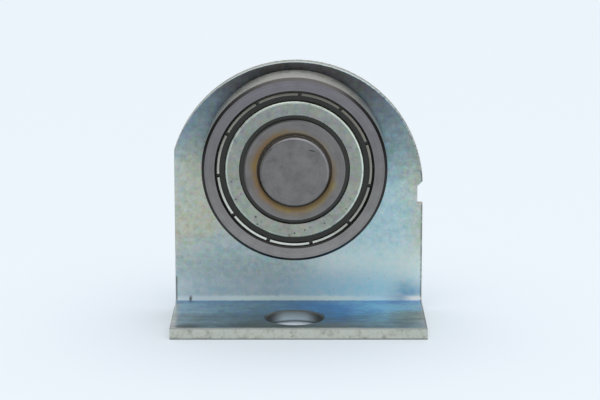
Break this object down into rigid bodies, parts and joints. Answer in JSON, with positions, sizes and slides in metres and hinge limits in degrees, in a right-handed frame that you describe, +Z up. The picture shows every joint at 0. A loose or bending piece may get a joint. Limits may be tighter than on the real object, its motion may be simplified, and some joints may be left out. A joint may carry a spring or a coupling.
{
  "type": "bearing roller",
  "caption": "Guide roller for a sliding door or gate: a shielded ball bearing on a riveted pin in front of the round-topped upright of an L-bracket with a bolt hole in its flange.",
  "frame": {"origin": "centre of the bolt hole on the underside of the flange", "axes": "+Z up along the upright, +Y to the back, along the roller's axle towards the upright, +X to the right along the flange, seen from the roller's side"},
  "size_m": [0.044, 0.0233, 0.045],
  "materials": {
    "zinc_plated_strip": "satin",
    "turned_pin_steel": "turned",
    "ground_ring_steel": "ground",
    "pressed_shield_sheet": "satin",
    "pressed_cage_sheet": "tumbled",
    "rivet_steel": "satin",
    "polished_ball_steel": "polished"
  },
  "bodies": {
    "frame": {"bracket": "zinc_plated_strip", "axle_pin": "turned_pin_steel", "inner_ring": "ground_ring_steel"},
    "roller": {"outer_ring": "ground_ring_steel", "front_shield": "pressed_shield_sheet", "rear_shield": "pressed_shield_sheet"},
    "cage": {"cage_front": "pressed_cage_sheet", "cage_rear": "pressed_cage_sheet", "cage_rivets": "rivet_steel"},
    "ball_1": {"ball_1": "polished_ball_steel"},
    "ball_2": {"ball_2": "polished_ball_steel"},
    "ball_3": {"ball_3": "polished_ball_steel"},
    "ball_4": {"ball_4": "polished_ball_steel"},
    "ball_5": {"ball_5": "polished_ball_steel"},
    "ball_6": {"ball_6": "polished_ball_steel"},
    "ball_7": {"ball_7": "polished_ball_steel"}
  },
  "joints": [
    {"name": "roller_spin", "type": "hinge", "parent": "frame", "child": "roller", "pos_m": [0, 0.0062, 0.02775], "axis": [0, 1, 0], "continuous": true},
    {"name": "cage_orbit", "type": "hinge", "parent": "frame", "child": "cage", "pos_m": [0, 0.0062, 0.02775], "axis": [0, 1, 0], "continuous": true},
    {"name": "ball_1_spin", "type": "hinge", "parent": "cage", "child": "ball_1", "pos_m": [0, 0.0062, 0.03875], "axis": [0, 1, 0], "continuous": true},
    {"name": "ball_2_spin", "type": "hinge", "parent": "cage", "child": "ball_2", "pos_m": [0.0086, 0.0062, 0.03461], "axis": [0, 1, 0], "continuous": true},
    {"name": "ball_3_spin", "type": "hinge", "parent": "cage", "child": "ball_3", "pos_m": [0.01072, 0.0062, 0.0253], "axis": [0, 1, 0], "continuous": true},
    {"name": "ball_4_spin", "type": "hinge", "parent": "cage", "child": "ball_4", "pos_m": [0.00477, 0.0062, 0.01784], "axis": [0, 1, 0], "continuous": true},
    {"name": "ball_5_spin", "type": "hinge", "parent": "cage", "child": "ball_5", "pos_m": [-0.00477, 0.0062, 0.01784], "axis": [0, 1, 0], "continuous": true},
    {"name": "ball_6_spin", "type": "hinge", "parent": "cage", "child": "ball_6", "pos_m": [-0.01072, 0.0062, 0.0253], "axis": [0, 1, 0], "continuous": true},
    {"name": "ball_7_spin", "type": "hinge", "parent": "cage", "child": "ball_7", "pos_m": [-0.0086, 0.0062, 0.03461], "axis": [0, 1, 0], "continuous": true}
  ],
  "couplings": [
    {"joint": "cage_orbit", "follows": "roller_spin", "ratio": 0.6353},
    {"joint": "ball_1_spin", "follows": "roller_spin", "ratio": 1.7125},
    {"joint": "ball_2_spin", "follows": "roller_spin", "ratio": 1.7125},
    {"joint": "ball_3_spin", "follows": "roller_spin", "ratio": 1.7125},
    {"joint": "ball_4_spin", "follows": "roller_spin", "ratio": 1.7125},
    {"joint": "ball_5_spin", "follows": "roller_spin", "ratio": 1.7125},
    {"joint": "ball_6_spin", "follows": "roller_spin", "ratio": 1.7125},
    {"joint": "ball_7_spin", "follows": "roller_spin", "ratio": 1.7125}
  ]
}
